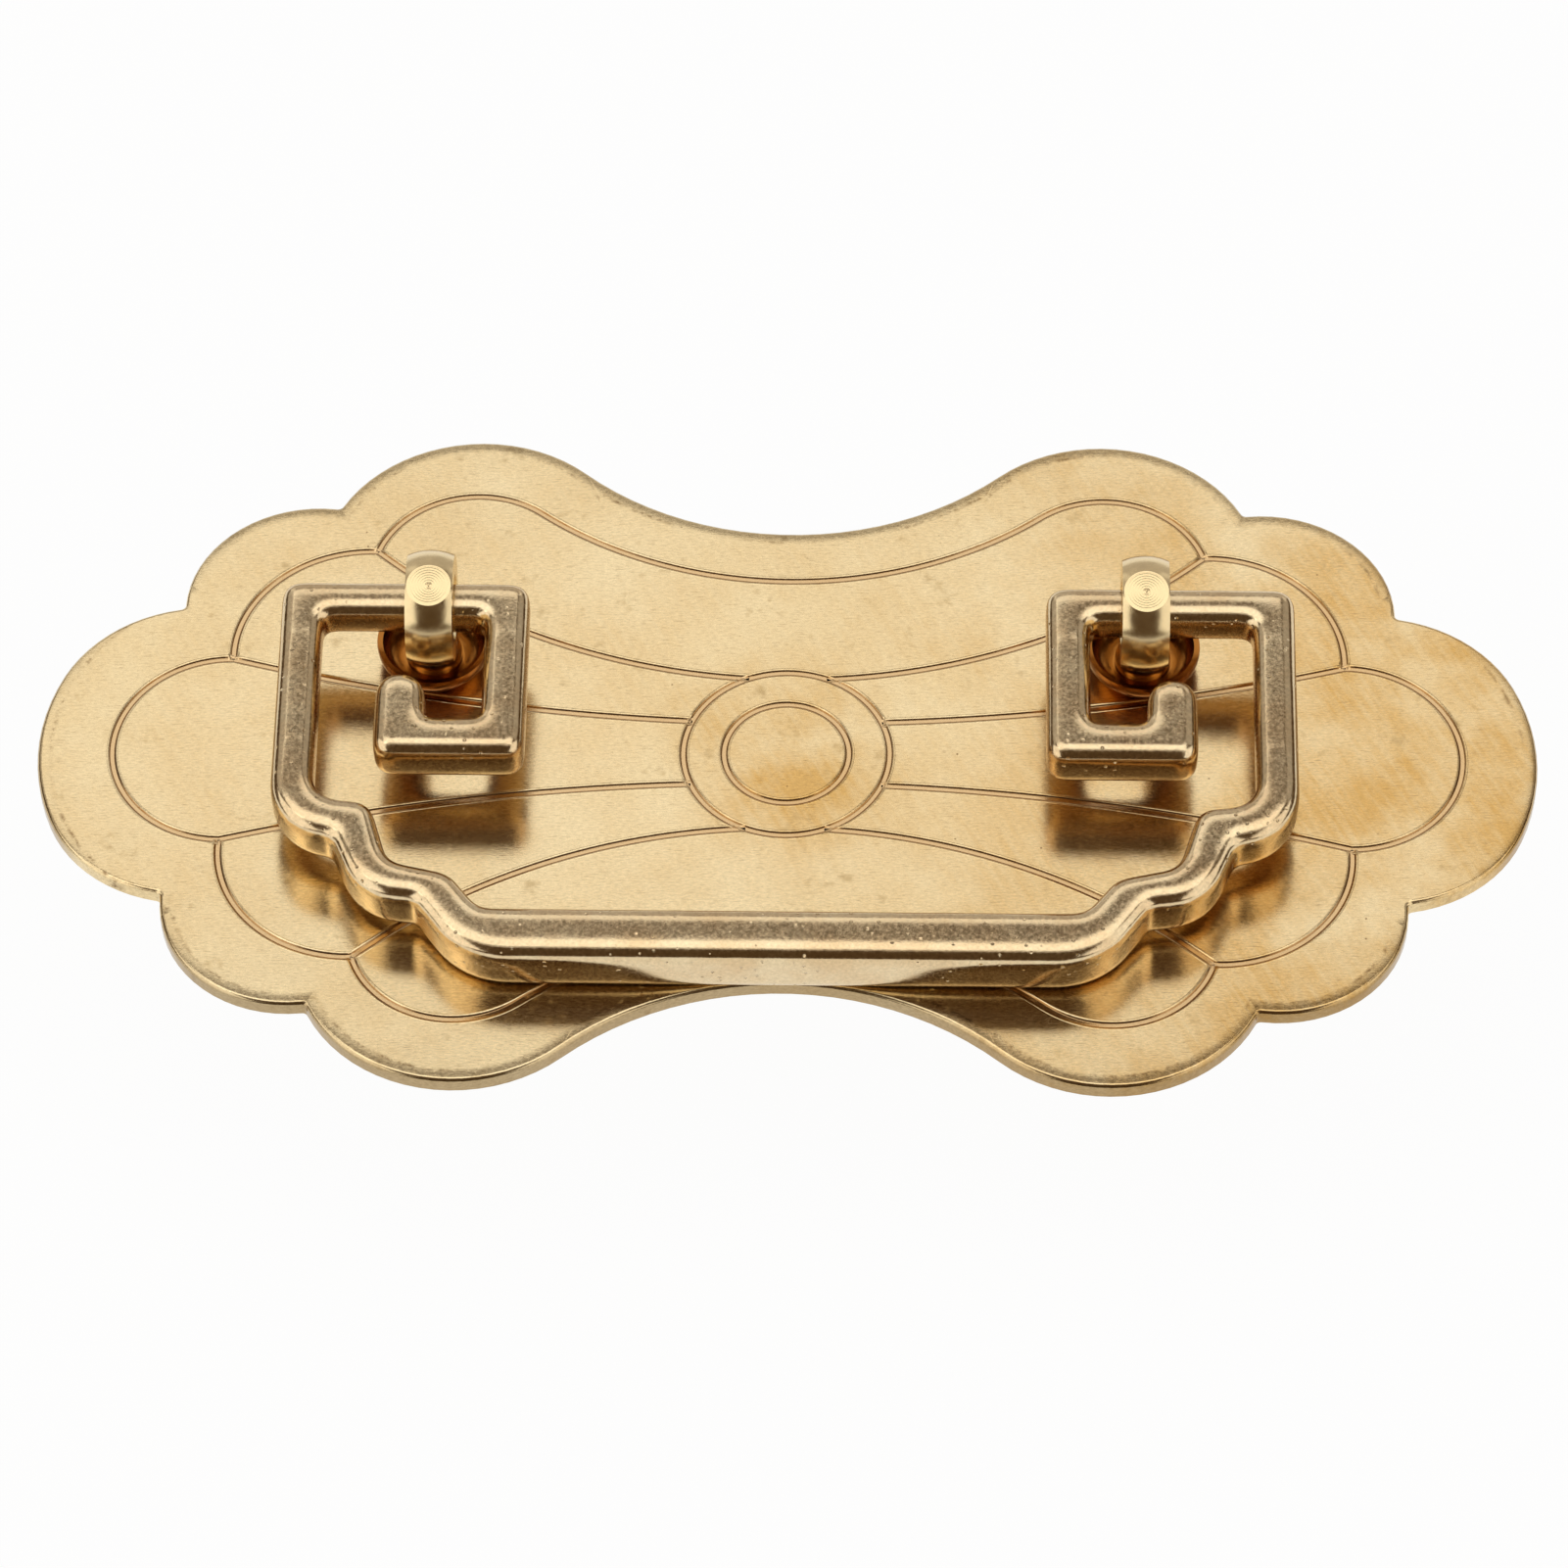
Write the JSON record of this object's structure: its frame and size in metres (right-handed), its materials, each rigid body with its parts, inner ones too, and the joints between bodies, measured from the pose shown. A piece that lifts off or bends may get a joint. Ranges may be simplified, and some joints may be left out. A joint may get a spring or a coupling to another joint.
{
  "type": "drawer pull",
  "caption": "Brass drawer pull: a cloud-shaped back plate with stamped line tracery, eye posts in cup washers, and a swinging bail with key-fret ends.",
  "frame": {"origin": "centre of the back plate's back face, which lies on the drawer front", "axes": "+Z out of the drawer front, +X along the plate, -Y the side the bail hangs to"},
  "size_m": [0.1344, 0.073, 0.0394],
  "materials": {
    "plate_brass": "stamped sheet, satin with fine grain, lightly tarnished along the rims",
    "bail_brass": "cast, tumbled to a soft polish, small pits",
    "post_brass": "turned and polished",
    "cup_brass": "pressed sheet, polished",
    "fastener_brass": "machined, plain"
  },
  "bodies": {
    "mount": {"back_plate": "plate_brass", "eye_post_left": "post_brass", "cup_washer_left": "cup_brass", "flat_washer_left": "fastener_brass", "hex_nut_left": "fastener_brass", "eye_post_right": "post_brass", "cup_washer_right": "cup_brass", "flat_washer_right": "fastener_brass", "hex_nut_right": "fastener_brass"},
    "bail": {"bail": "bail_brass"}
  },
  "joints": [
    {"name": "bail_swing", "type": "hinge", "parent": "mount", "child": "bail", "pos_m": [0, 0.0105, 0.0087], "axis": [-1, 0, 0], "range_deg": [0, 190]}
  ]
}
